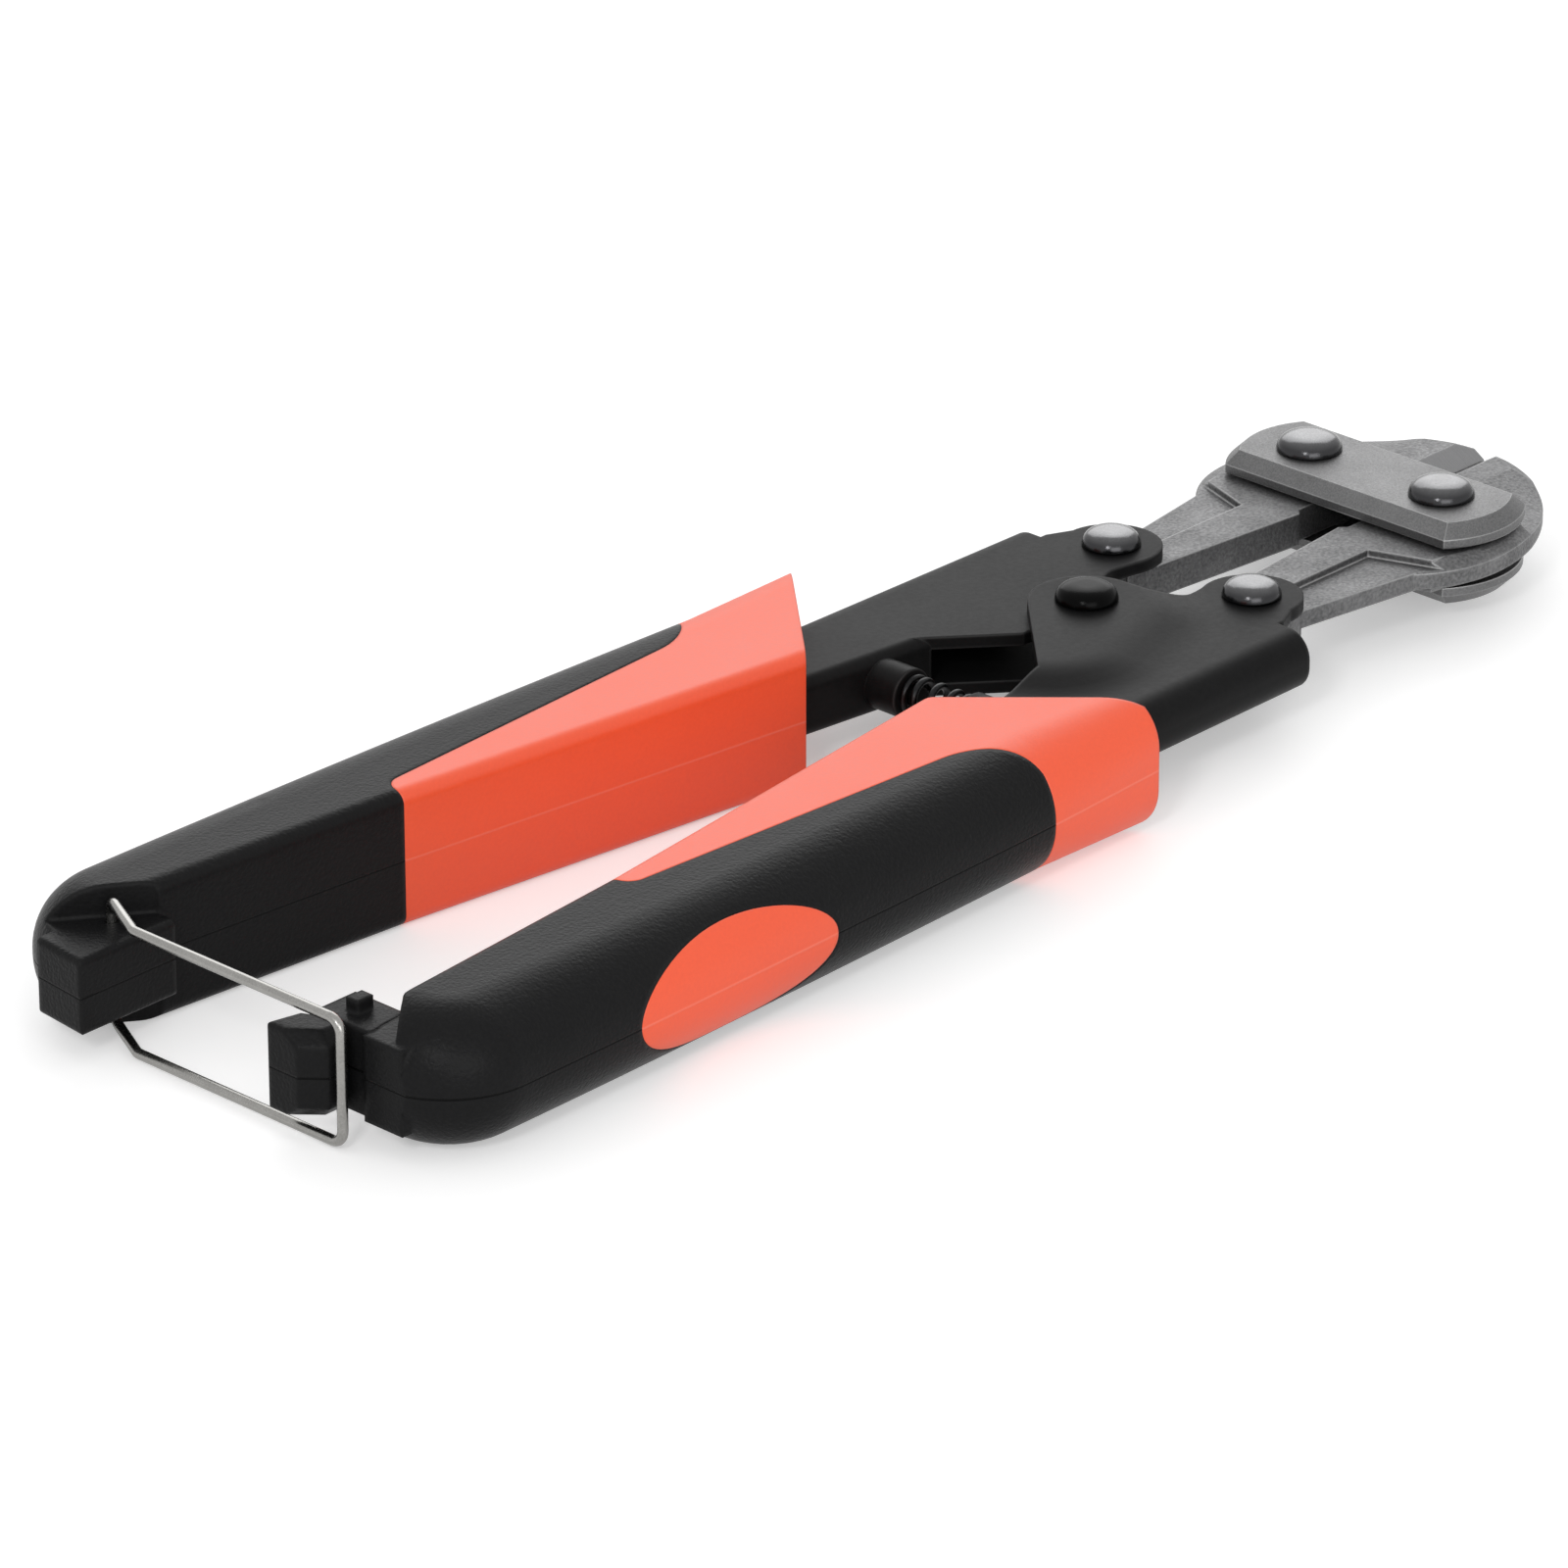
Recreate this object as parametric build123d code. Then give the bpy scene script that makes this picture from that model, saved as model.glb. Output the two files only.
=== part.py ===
"""Compact bolt cutter with a spring-opened handle pair and a wire bail latch.

Every piece is drawn about the centre pivot, with the jaws towards +X, the far
handle on +Y and the parting plane of the grips at z = 0. The last step moves
all pieces so that the origin is under the middle of the tool.
"""
import os
from math import cos, pi, sin, sqrt

from build123d import *

# Pivot places
strap_rivet_x = 51.3
strap_rivet_y = 10.15
jaw_rivet_x = 16.5
jaw_rivet_y = 10.75

# Reach of the jaws and of the grips from the centre pivot
tip_reach = 72.0
grip_reach = 141.2
tongue_extra = 0.8

# Thicknesses across the tool
jaw_half = 2.05
boss_rise = 0.4
sheet = 1.5
strap_thick = 2.65
grip_half = 8.2

# Clearances
run_fit = 0.05
open_pivot_fit = 0.3
face_gap = 0.05
lap_gap = 0.1
blade_gap = 0.15

# Rivets
strap_shank_r = 2.6
jaw_shank_r = 2.2
centre_shank_r = 2.4
strap_head_r = 3.95
jaw_head_r = 3.5
centre_head_r = 3.7
head_rise = 1.9
bush_r = 3.6

# Jaws
eye_r = 5.6
boss_r = 6.3
tail_rear_x = 13.6
tail_root_y = 5.6
tail_outer_y = 13.0
neck_x = 41.2
neck_y = 3.0
neck_step = 0.8
blade_length = 15.2
blade_ramp = 2.3
edge_land = 0.1
bevel_y = 3.05
shoulder_x = 38.5
shoulder_y = 16.8
crown_x = 48.8
crown_y = 20.7
flank_end_run = 2.1
flank_end_y = 8.6
tip_corner_y = 3.6
rim_width = 2.0
rim_drop = 1.1
facet_y = 6.7
facet_length = 15.0
facet_rear_drop = 1.4
facet_front_drop = 1.9
facet_over = 0.6
facet_spill = 2.3
panel_depth = 0.95
panel_rear_x = 20.0
panel_front_x = 38.6
panel_inner_y = 9.7
panel_lean = 0.35

# Straps
strap_half_width = 7.5
strap_corner_y = 16.8
strap_end_y = 19.5
strap_bevel = 1.6

# Arms
centre_ear_r = 6.8
jaw_ear_r = 6.0
far_edge_x = -9.4
far_edge_y = 1.2
web_y = 23.0
web_front_x = 12.5
web_spread = 0.6
tang_front_x = -17.4
tang_front_y = 8.1
tang_slope = 0.121
tang_end_x = -60.0
arm_bend_r = 3.2
valley_x = 7.4
valley_y = 6.4
valley_r = 4.0
throat_x = 13.4
throat_y = 18.2
lap_foot_r = 13.4
lap_slope_run = 5.4
lap_rim_width = 2.2
lap_blend_r = 12.0
lap_reach_x = -11.0
lap_reach_y = 3.6

# Grips
cover_thick = 1.6
cover_start_x = -94.5
cover_front_x = -39.2
cover_bend_x = -48.0
cover_bend_y = 21.4
cover_nose_y = 28.4
cover_corner_y = 16.4
cover_corner_r = 2.3
collar_inner_x = -38.0
collar_outer_x = -20.8
collar_edge_y = 27.0
grip_front_x = -14.0
grip_front_y = 5.5
collar_y = 8.4
waist_y = 15.4
heel_y = 19.6
front_flank_y = 28.9
collar_flank_y = 30.3
collar_edge_r = 4.8
rear_flank_x = -95.0
rear_flank_y = 31.9
end_round_y = 21.2
end_round_r = 11.0
nose_r = 7.9
inner_edge_r = 1.6
oval_x = -91.0
oval_half_length = 15.5
oval_half_height = 6.3
core_run = 15.0
far_end_run = 0.9
near_end_run = 6.0

# Latch end of the far grip
shelf_run = 13.0
shelf_wall_y = 18.9
shelf_wall_lean = 0.73
tongue_half = 4.5
tongue_y = 16.1
tongue_out_y = 23.6
tongue_edge_r = 0.7
wire_r = 0.6
bail_half = 7.2
bail_pivot_run = 8.2
bail_pivot_y = 20.8
bail_line_run = 4.4
bail_bend_y = 13.2
bail_bar_y = -18.0
bail_bend_r = 1.6
pin_depth = 2.4
pin_end_gap = 0.2

# Latch end of the near grip
end_step_run = 12.5
end_block_run = 6.7
end_block_half = 5.0
end_block_y = 24.5
slot_length = 2.2
slot_width = 1.0
slot_depth = 1.4
slot_y = 20.2
hook_run = 2.0
hook_half = 5.0
hook_out_y = 16.4
hook_in_y = 9.2
hook_ramp = 2.2
hook_lean = 1.13
hook_slope = 1.5
hook_edge_r = 0.4
neck_out_y = 14.9
neck_in_y = 11.0
neck_half = 4.2
stub_gap = 0.9
stub_out_y = 19.4
lug_in_y = 13.4
lug_out_y = 15.1
lug_gap = 0.5
lug_length = 2.3
lug_rise = 1.5

# Return spring
spring_x = -24.5
spring_coil_r = 2.1
spring_wire_r = 0.4
spring_turns = 5
seat_face_y = 4.7
seat_r = 3.0
spigot_r = 1.25
spigot_length = 1.4

# Derived levels and places
boss_half = jaw_half + boss_rise
strap_in = boss_half + face_gap
strap_out = strap_in + strap_thick
flange_in = jaw_half + lap_gap
flange_out = flange_in + sheet
lap_in = flange_out + lap_gap
lap_out = lap_in + sheet
blade_root_x = tip_reach - blade_length
flank_end_x = tip_reach - flank_end_run
facet_rear_x = tip_reach - facet_length
facet_end_x = tip_reach + facet_over
lap_flat_r = lap_foot_r - lap_slope_run
lap_rim_r = lap_foot_r + lap_rim_width
rear_x = -grip_reach
shelf_x = rear_x + shelf_run
end_step_x = rear_x + end_step_run
end_block_x = rear_x + end_block_run
bail_line_x = rear_x + bail_line_run
bail_pivot_x = rear_x + bail_pivot_run
big = 400.0
FAR = 1
NEAR = -1


def plan_solid(points, low, high):
    """Prism over a closed plan polygon."""
    with BuildPart() as prism:
        with BuildSketch(Plane.XY.offset(low)):
            with BuildLine():
                Polyline(*points, close=True)
            make_face()
        extrude(amount=high - low)
    return prism.part


def disc(x, y, radius, low, high):
    """Upright cylinder between two levels."""
    return Pos(x, y, (low + high) / 2) * Cylinder(radius, high - low)


def block(x0, x1, y0, y1, z0, z1):
    """Box given by its limits."""
    size = Box(x1 - x0, y1 - y0, z1 - z0)
    return Pos((x0 + x1) / 2, (y0 + y1) / 2, (z0 + z1) / 2) * size


def to_side(solid, side):
    """Far pieces stay, near pieces are mirrored across the middle."""
    if side == FAR:
        return solid
    return mirror(solid, about=Plane.XZ)


def both_faces(solid):
    """A solid above the parting plane together with its mirror below."""
    return solid + mirror(solid, about=Plane.XY)


def rivet(x, y, shank_r, head_r, seat):
    """Shank with a low domed head at each end."""
    dome = head_rise / 2
    ball_r = (head_r ** 2 + dome ** 2) / (2 * dome)
    top = seat + head_rise
    head = disc(x, y, head_r, seat, top)
    head = head & (Pos(x, y, top - ball_r) * Sphere(ball_r))
    return both_faces(head) + disc(x, y, shank_r, -seat, seat)


def jaw_blank():
    """Jaw outline at full thickness, with a sloped rim round the head."""
    with BuildPart() as blank:
        with BuildSketch(Plane.XY.offset(-jaw_half)):
            with BuildLine():
                crown = TangentArc((crown_x, crown_y), (shoulder_x, shoulder_y), tangent=(-1, 0))
                flank = TangentArc((crown_x, crown_y), (flank_end_x, flank_end_y), tangent=(1, 0))
                tip = TangentArc(flank @ 1, (tip_reach, tip_corner_y), tangent=flank % 1)
                Polyline(tip @ 1, (tip_reach, blade_gap), (blade_root_x, blade_gap),
                         (blade_root_x - blade_ramp, neck_y + neck_step),
                         (neck_x + neck_step, neck_y + neck_step), (neck_x, neck_y),
                         (tail_rear_x, tail_root_y), (tail_rear_x, tail_outer_y), crown @ 1)
            make_face()
        extrude(amount=2 * jaw_half)
        for level in (-jaw_half, jaw_half):
            face = [f for f in blank.faces() if abs(f.center().Z - level) < face_gap][0]
            rim = [e for e in face.edges() if e.geom_type == GeomType.CIRCLE]
            chamfer(rim, length=rim_width, length2=rim_drop, reference=face)
    return blank.part


def blade_facet():
    """Wedge above the sloped outer side of the blade."""
    top = jaw_half + facet_spill
    rear_y = crown_y + facet_spill
    front_y = flank_end_y + facet_spill
    stations = [
        (facet_rear_x, rear_y, facet_rear_drop),
        (flank_end_x, front_y, facet_front_drop),
        (facet_end_x, front_y, 0),
    ]
    with BuildPart() as wedge:
        for x, outer_y, drop in stations:
            with BuildSketch(Plane.YZ.offset(x)):
                with BuildLine():
                    Polyline((facet_y, jaw_half), (outer_y, jaw_half - drop), (outer_y, top),
                             (facet_y, top), close=True)
                make_face()
        loft(ruled=True)
    return wedge.part


def blade_bevel():
    """Wedge above the ground bevel of the cutting edge."""
    top = jaw_half + facet_spill
    with BuildPart() as wedge:
        with BuildSketch(Plane.YZ.offset(blade_root_x)):
            with BuildLine():
                Polyline((0, edge_land), (bevel_y, jaw_half), (bevel_y, top), (0, top), close=True)
            make_face()
        extrude(amount=tip_reach - blade_root_x + 1)
    return wedge.part


def jaw(side):
    """Forged jaw: riveted eye, tail with a sunk panel, pivot boss and blade."""
    body = jaw_blank()
    body += disc(jaw_rivet_x, jaw_rivet_y, eye_r, -jaw_half, jaw_half)
    body -= both_faces(blade_facet())
    body -= both_faces(blade_bevel())

    outer_y = crown_y + rim_width
    lean = panel_lean * (outer_y - panel_inner_y)
    panel = [(panel_rear_x, panel_inner_y), (panel_front_x, panel_inner_y),
             (panel_front_x + lean, outer_y), (panel_rear_x, outer_y)]
    sunk = plan_solid(panel, jaw_half - panel_depth, jaw_half + boss_rise)
    sunk -= disc(jaw_rivet_x, jaw_rivet_y, jaw_ear_r, 0, big)
    body -= both_faces(sunk)

    body += disc(strap_rivet_x, strap_rivet_y, boss_r, -boss_half, boss_half)
    strap_hole_r = strap_shank_r + (run_fit if side == FAR else open_pivot_fit)
    body -= disc(strap_rivet_x, strap_rivet_y, strap_hole_r, -big, big)
    body -= disc(jaw_rivet_x, jaw_rivet_y, jaw_shank_r + run_fit, -big, big)
    return to_side(body, side)


def strap(level):
    """Link plate over both jaws, bevelled all round its outer face."""
    rear = strap_rivet_x - strap_half_width
    front = strap_rivet_x + strap_half_width
    with BuildPart() as plate:
        with BuildSketch(Plane.XY.offset(strap_in)):
            with BuildLine():
                Line((rear, -strap_corner_y), (rear, strap_corner_y))
                ThreePointArc((rear, strap_corner_y), (strap_rivet_x, strap_end_y),
                              (front, strap_corner_y))
                Line((front, strap_corner_y), (front, -strap_corner_y))
                ThreePointArc((front, -strap_corner_y), (strap_rivet_x, -strap_end_y),
                              (rear, -strap_corner_y))
            make_face()
        extrude(amount=strap_thick)
        outer_edges = plate.faces().sort_by(Axis.Z)[-1].edges()
        chamfer(outer_edges, length=strap_bevel)
    plate = plate.part
    for side in (FAR, NEAR):
        plate -= disc(strap_rivet_x, side * strap_rivet_y, strap_shank_r, 0, big)
    if level == "bottom":
        plate = mirror(plate, about=Plane.XY)
    return plate


def tang_line(x):
    """Outer face of the arm's inner wall, in step with the grip's inner side."""
    return tang_front_y + tang_slope * (tang_front_x - x)


def arm_plan(side):
    """Outline of an arm seen from above, drawn on the far side."""
    slant = centre_ear_r * sqrt(0.5)
    if side == FAR:
        rear_ear = [(far_edge_x, far_edge_y), (0, far_edge_y)]
    else:
        rear_ear = [(-slant, -slant)]
    points = rear_ear + [
        (centre_ear_r, 0),
        (valley_x, valley_y),
        (jaw_rivet_x, jaw_rivet_y - jaw_ear_r),
        (jaw_rivet_x, jaw_rivet_y + jaw_ear_r),
        (throat_x, throat_y),
        (web_front_x, throat_y),
        (web_front_x, web_y),
        (tang_end_x, web_y + web_spread),
        (tang_end_x, tang_line(tang_end_x)),
        (tang_front_x, tang_front_y),
    ]
    with BuildSketch() as plan:
        with BuildLine():
            Polyline(*points, close=True)
        make_face()
        valley = plan.vertices().sort_by_distance((valley_x, valley_y))[0]
        fillet(valley, valley_r)
        if side == NEAR:
            Circle(centre_ear_r)
        else:
            Circle(centre_ear_r - face_gap)
        with Locations((jaw_rivet_x, jaw_rivet_y)):
            Circle(jaw_ear_r)
    return plan.sketch


def arm_envelope(side):
    """Outer shape of an arm, before it is hollowed."""
    body = Pos(0, 0, -flange_out) * extrude(arm_plan(side), 2 * flange_out)
    reach = (web_front_x - tang_end_x) / 2
    long_edges = [e for e in body.edges() if e.length > reach]
    body = fillet([e for e in long_edges if e.center().Y > web_y], arm_bend_r)
    long_edges = [e for e in body.edges() if e.length > reach]
    body = fillet([e for e in long_edges if e.center().Y < throat_y], sheet)
    if side == NEAR:
        body += both_faces(lap_pad(0) & extrude(arm_plan(side), big))
    return body


def lap_slot(run, radius, level):
    """Long round outline of the raised pad at one level."""
    with BuildSketch(Plane((0, 0, level), x_dir=(lap_reach_x, lap_reach_y, 0))) as outline:
        with Locations((run / 2, 0)):
            SlotCenterToCenter(run, 2 * radius)
    return outline.sketch.faces()[0]


def lap_pad(drop):
    """Raised pad round the centre pivot and along the arm's inner edge."""
    run = sqrt(lap_reach_x ** 2 + lap_reach_y ** 2)
    foot_level = flange_out - drop
    top_level = lap_out - drop
    foot = lap_slot(run, lap_foot_r, foot_level)
    with BuildPart() as pad:
        loft([foot, lap_slot(run, lap_flat_r, top_level)], ruled=True)
        extrude(lap_slot(run, lap_rim_r, foot_level), amount=-sheet)
        top_ring = [e for e in pad.edges() if abs(e.center().Z - top_level) < face_gap]
        fillet(top_ring, lap_blend_r)
        foot_ring = [e for e in pad.edges() if abs(e.center().Z - foot_level) < face_gap]
        fillet([e for e in foot_ring if e.distance_to(foot.center()) < lap_foot_r + face_gap], lap_blend_r)
    return pad.part


def arm(side):
    """Pressed sheet arm: outer web, two flanges with ears, inner wall at the tang."""
    body = arm_envelope(side)
    web_rear_y = web_y + web_spread
    wall_in = tang_front_y + sheet
    hollow = [
        (big, web_y - sheet),
        (tang_end_x + sheet, web_rear_y - sheet),
        (tang_end_x + sheet, tang_line(tang_end_x) + sheet),
        (tang_front_x - sheet, wall_in),
        (tang_front_x, tang_front_y),
        (tang_front_x, -big),
        (big, -big),
    ]
    cavity = plan_solid(hollow, -flange_in, flange_in)
    reach = (web_front_x - tang_end_x) / 2
    inner_edges = [e for e in cavity.edges() if e.center().Y > throat_y and e.length > reach]
    cavity = fillet(inner_edges, arm_bend_r - sheet)
    body -= cavity

    centre_hole_r = centre_shank_r
    if side == NEAR:
        centre_hole_r = centre_shank_r + run_fit
        wall = [
            (tang_front_x, tang_front_y - big),
            (tang_front_x, wall_in),
            (tang_end_x, tang_line(tang_end_x) + sheet),
            (tang_end_x, tang_front_y - big),
        ]
        body -= both_faces(lap_pad(sheet) - plan_solid(wall, 0, big))
    body -= disc(0, 0, centre_hole_r, -big, big)
    body -= disc(jaw_rivet_x, jaw_rivet_y, jaw_shank_r, -big, big)
    return to_side(body, side)


def grip_heel(x):
    """Inner side of a grip behind its waist."""
    return waist_y + (heel_y - waist_y) * (cover_start_x - x) / (cover_start_x - rear_x)


def grip_body(inset, end_x):
    """Grip with a flat inner side and a round outer side, set in by a skin thickness."""
    half = grip_half - inset
    round_r = end_round_r - inset
    round_x = end_x + end_round_r
    slant = round_r * sqrt(0.5)
    with BuildPart() as body:
        with BuildSketch(Plane.XY.offset(-half)):
            with BuildLine():
                inner = Polyline((collar_inner_x, collar_y + inset), (cover_start_x, waist_y + inset),
                                 (end_x + inset, grip_heel(end_x) + inset), (end_x + inset, end_round_y))
                end = ThreePointArc(inner @ 1, (round_x - slant, end_round_y + slant),
                                    (round_x, end_round_y + round_r))
                flank = TangentArc(end @ 1, (rear_flank_x, rear_flank_y - inset), tangent=(1, 0))
                fore = TangentArc(flank @ 1, (collar_inner_x, collar_flank_y - inset), tangent=flank % 1)
                Line(fore @ 1, inner @ 0)
            make_face()
        extrude(amount=2 * half)
        rims = [e for e in body.edges() if abs(e.center().Z) > half - face_gap]
        outer_rims = [e for e in rims if e.geom_type == GeomType.CIRCLE]
        fillet(outer_rims, nose_r - inset)
        rims = [e for e in body.edges() if abs(e.center().Z) > half - face_gap]
        side_rims = [e for e in rims if e.center().X < collar_inner_x - end_round_r]
        inner_rims = [e for e in side_rims if e.center().Y < heel_y and e.length > end_round_r]
        fillet(inner_rims, inner_edge_r)
    return body.part


def grip_collar(grip):
    """Front of a grip, from its round section to a square one."""
    joint = grip.faces().sort_by(Axis.X)[-1]
    with BuildPart() as collar:
        with BuildSketch(Plane.YZ.offset(grip_front_x)) as front:
            with Locations(((grip_front_y + front_flank_y) / 2, 0)):
                Rectangle(front_flank_y - grip_front_y, 2 * grip_half)
            fillet(front.vertices().sort_by(Axis.X)[:2], inner_edge_r)
            fillet(front.vertices().sort_by(Axis.X)[-2:], collar_edge_r)
        loft([joint, front.sketch.faces()[0]], ruled=True)
    return collar.part


def front_cut():
    """Space in front of the collar's slanted face."""
    slope = (collar_edge_y - collar_y) / (collar_outer_x - collar_inner_x)
    foot_x = collar_inner_x - (collar_y + big) / slope
    cut = [
        (foot_x, -big),
        (collar_outer_x, collar_edge_y),
        (collar_outer_x, big),
        (big, big),
        (big, -big),
    ]
    return plan_solid(cut, -big, big)


def cover_region():
    """Plan area behind and outside the colour line of a grip."""
    run_y = cover_corner_y + cover_corner_r
    with BuildPart() as region:
        with BuildSketch(Plane.XY.offset(-big)):
            with BuildLine():
                foot = Line((cover_start_x, -big), (cover_start_x, cover_corner_y))
                turn = TangentArc(foot @ 1, (cover_start_x + cover_corner_r, run_y), tangent=(0, 1))
                run = Line(turn @ 1, (cover_bend_x, cover_bend_y))
                nose = TangentArc(run @ 1, (cover_front_x, cover_nose_y), tangent=run % 1)
                Polyline(nose @ 1, (cover_front_x, big), (-big, big), (-big, -big), foot @ 0)
            make_face()
        extrude(amount=2 * big)
    return region.part


def oval_post():
    """Window of the cover that shows the base on the grip's outer side."""
    inner_y = rear_flank_y - nose_r
    with BuildPart() as post:
        with BuildSketch(Plane.XZ.offset(-inner_y)):
            with Locations((oval_x, 0)):
                Ellipse(oval_half_length, oval_half_height)
        extrude(amount=-2 * nose_r)
    return post.part


def grip_pieces(side):
    """Base and cover of one grip, cut for the arm and for the latch."""
    end_x = rear_x + (far_end_run if side == FAR else near_end_run)
    whole = grip_body(0, end_x)
    whole = whole + grip_collar(whole) - front_cut()
    core = grip_body(cover_thick, end_x)
    core -= block(-big, end_x + core_run, -big, big, -big, big)
    region = cover_region()
    post = oval_post()
    skin = (whole & region) - core
    cover = skin - post
    base = (whole - region) + (core & region) + (skin & post)
    if side == FAR:
        cover = cover - end_recess(tongue_half) + far_tongue()
        cover -= bail_holes()
    else:
        cover -= end_recess(end_block_half) + block(-big, end_block_x, -big, big, -big, big)
        cover += near_end_block()
    space = arm_envelope(side)
    return to_side(base - space, side), to_side(cover - space, side)


def end_recess(level):
    """Sunk corners above and below the end of a grip, along a slanted wall."""
    far_x = rear_x - tongue_extra - 1
    wall_end_y = shelf_wall_y + shelf_wall_lean * (shelf_x - far_x)
    corner = [(shelf_x, 0), (shelf_x, shelf_wall_y), (far_x, wall_end_y), (far_x, 0)]
    return both_faces(plan_solid(corner, level, big))


def far_tongue():
    """Flat tongue at the far grip's end that carries the bail."""
    tongue_x = rear_x - tongue_extra
    outline = [
        (shelf_x, tongue_y),
        (tongue_x, tongue_y),
        (rear_x, tongue_out_y),
        (shelf_x, tongue_out_y),
    ]
    tongue = plan_solid(outline, -tongue_half, tongue_half)
    rims = [e for e in tongue.edges() if abs(e.center().Z) > tongue_half - face_gap]
    rims = [e for e in rims if e.center().Y < tongue_out_y - face_gap]
    return fillet([e for e in rims if e.center().X < shelf_x - face_gap], tongue_edge_r)


def bail_holes():
    """Blind holes in both faces of the tongue for the bail's bent ends."""
    floor = tongue_half - pin_depth
    return both_faces(disc(bail_pivot_x, bail_pivot_y, wire_r + run_fit, floor, big))


def near_end_block():
    """Block on the near grip's end that carries the hook, drawn on the far side."""
    body = block(end_block_x, end_step_x + end_round_r / 2, shelf_wall_y, end_block_y,
                 -end_block_half, end_block_half)
    slot_x = (end_block_x + end_step_x) / 2
    return body - block(slot_x - slot_length / 2, slot_x + slot_length / 2, slot_y - slot_width / 2,
                        slot_y + slot_width / 2, end_block_half - slot_depth, end_block_half)


def latch_hook():
    """Hook on the near grip's end block that the bail's bar catches on."""
    rear = rear_x + hook_run
    front = end_block_x
    head = [
        (front, hook_out_y),
        (rear + hook_ramp, hook_out_y),
        (rear, hook_out_y - hook_ramp * hook_lean),
        (rear, hook_in_y),
        (front - stub_gap, hook_in_y + stub_gap),
        (front, neck_in_y + stub_gap),
    ]
    head = plan_solid(head, -hook_half, hook_half)
    outer = [e for e in head.edges() if e.center().Y > hook_out_y - hook_ramp * hook_lean]
    slopes = [e for e in outer if abs(e.center().Z) > hook_half - face_gap]
    slopes = [e for e in slopes if e.center().X < front - face_gap]
    head = chamfer(slopes, hook_slope)
    rims = [e for e in head.edges() if e.center().X < front - stub_gap]
    head = fillet(rims, hook_edge_r)
    stub_x = end_block_x + stub_gap
    body = head + block(front, stub_x, neck_in_y, neck_out_y, -neck_half, neck_half)
    body += block(stub_x, end_step_x + stub_gap, neck_in_y, stub_out_y, -end_block_half, end_block_half)
    lug_x = end_step_x - lug_gap
    body += block(lug_x - lug_length, lug_x, lug_in_y, lug_out_y, 0, end_block_half + lug_rise)
    return to_side(body, NEAR)


def bail():
    """Bent wire loop, hinged in the far grip's tongue."""
    pin_end = tongue_half - pin_depth + pin_end_gap
    route = [
        (bail_pivot_x, bail_pivot_y, pin_end),
        (bail_pivot_x, bail_pivot_y, bail_half),
        (bail_line_x, bail_bend_y, bail_half),
        (bail_line_x, bail_bar_y, bail_half),
        (bail_line_x, bail_bar_y, -bail_half),
        (bail_line_x, bail_bend_y, -bail_half),
        (bail_pivot_x, bail_pivot_y, -bail_half),
        (bail_pivot_x, bail_pivot_y, -pin_end),
    ]
    with BuildPart() as wire:
        with BuildLine() as path:
            FilletPolyline(*route, radius=bail_bend_r)
        with BuildSketch(Plane(origin=path.wire() @ 0, z_dir=path.wire() % 0)):
            Circle(wire_r)
        sweep()
    return wire.part


def spring_point(turn):
    """Point of the coil's centre line after a number of turns."""
    end_y = seat_face_y - spring_wire_r - face_gap
    angle = 2 * pi * turn
    y = end_y - 2 * end_y * turn / spring_turns
    return Vector(spring_x + spring_coil_r * cos(angle), y, spring_coil_r * sin(angle))


def spring_tangent(turn):
    """Direction of the coil's centre line after a number of turns."""
    step = 0.0005
    return (spring_point(turn + step) - spring_point(turn - step)).normalized()


def biarc(start, end):
    """Two arcs that join two points of the coil along its own directions."""
    p, q = spring_point(start), spring_point(end)
    u, v = spring_tangent(start), spring_tangent(end)
    chord = q - p
    both = u + v
    spread = 2 * (1 - u.dot(v))
    lead = (-chord.dot(both) + sqrt(chord.dot(both) ** 2 + spread * chord.dot(chord))) / spread
    near_knee = p + u * lead
    far_knee = q - v * lead
    middle = (near_knee + far_knee) * 0.5
    TangentArc(p, middle, tangent=u)
    TangentArc(middle, q, tangent=far_knee - near_knee)


def return_spring():
    """Coil that pushes the handles apart."""
    quarters = spring_turns * 4
    lead = 2 * spring_wire_r
    with BuildPart() as coil:
        with BuildLine() as path:
            Line(spring_point(0) - spring_tangent(0) * lead, spring_point(0))
            for quarter in range(quarters):
                biarc(quarter / 4, (quarter + 1) / 4)
            end = spring_turns
            Line(spring_point(end), spring_point(end) + spring_tangent(end) * lead)
        with BuildSketch(Plane(origin=path.wire() @ 0, z_dir=path.wire() % 0)):
            Circle(spring_wire_r)
        sweep()
    return coil.part


def print_spring_gap():
    """Least gap of the coil to itself, measured on points of its centre line."""
    per_turn = 48
    points = [spring_point(i / per_turn) for i in range(spring_turns * per_turn + 1)]
    least = big
    for i, first in enumerate(points):
        for second in points[i + per_turn // 2:]:
            least = min(least, (first - second).length)
    print(f"spring gap to itself {least - 2 * spring_wire_r:.2f} mm")


def spring_seat(side):
    """Boss on an arm's inner wall that carries one end of the spring."""
    wall_y = tang_line(spring_x) + sheet
    boss = Rot(90, 0, 0) * Cylinder(seat_r, wall_y - seat_face_y)
    body = Pos(spring_x, (seat_face_y + wall_y) / 2, 0) * boss - arm_envelope(side)
    spigot = Rot(90, 0, 0) * Cylinder(spigot_r, spigot_length)
    body += Pos(spring_x, seat_face_y - spigot_length / 2, 0) * spigot
    return to_side(body, side)


def centre_bush():
    """Sleeve that keeps the inner arm's flanges apart on the centre rivet."""
    sleeve = disc(0, 0, bush_r, -flange_in, flange_in)
    return sleeve - disc(0, 0, centre_shank_r, -big, big)


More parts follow.
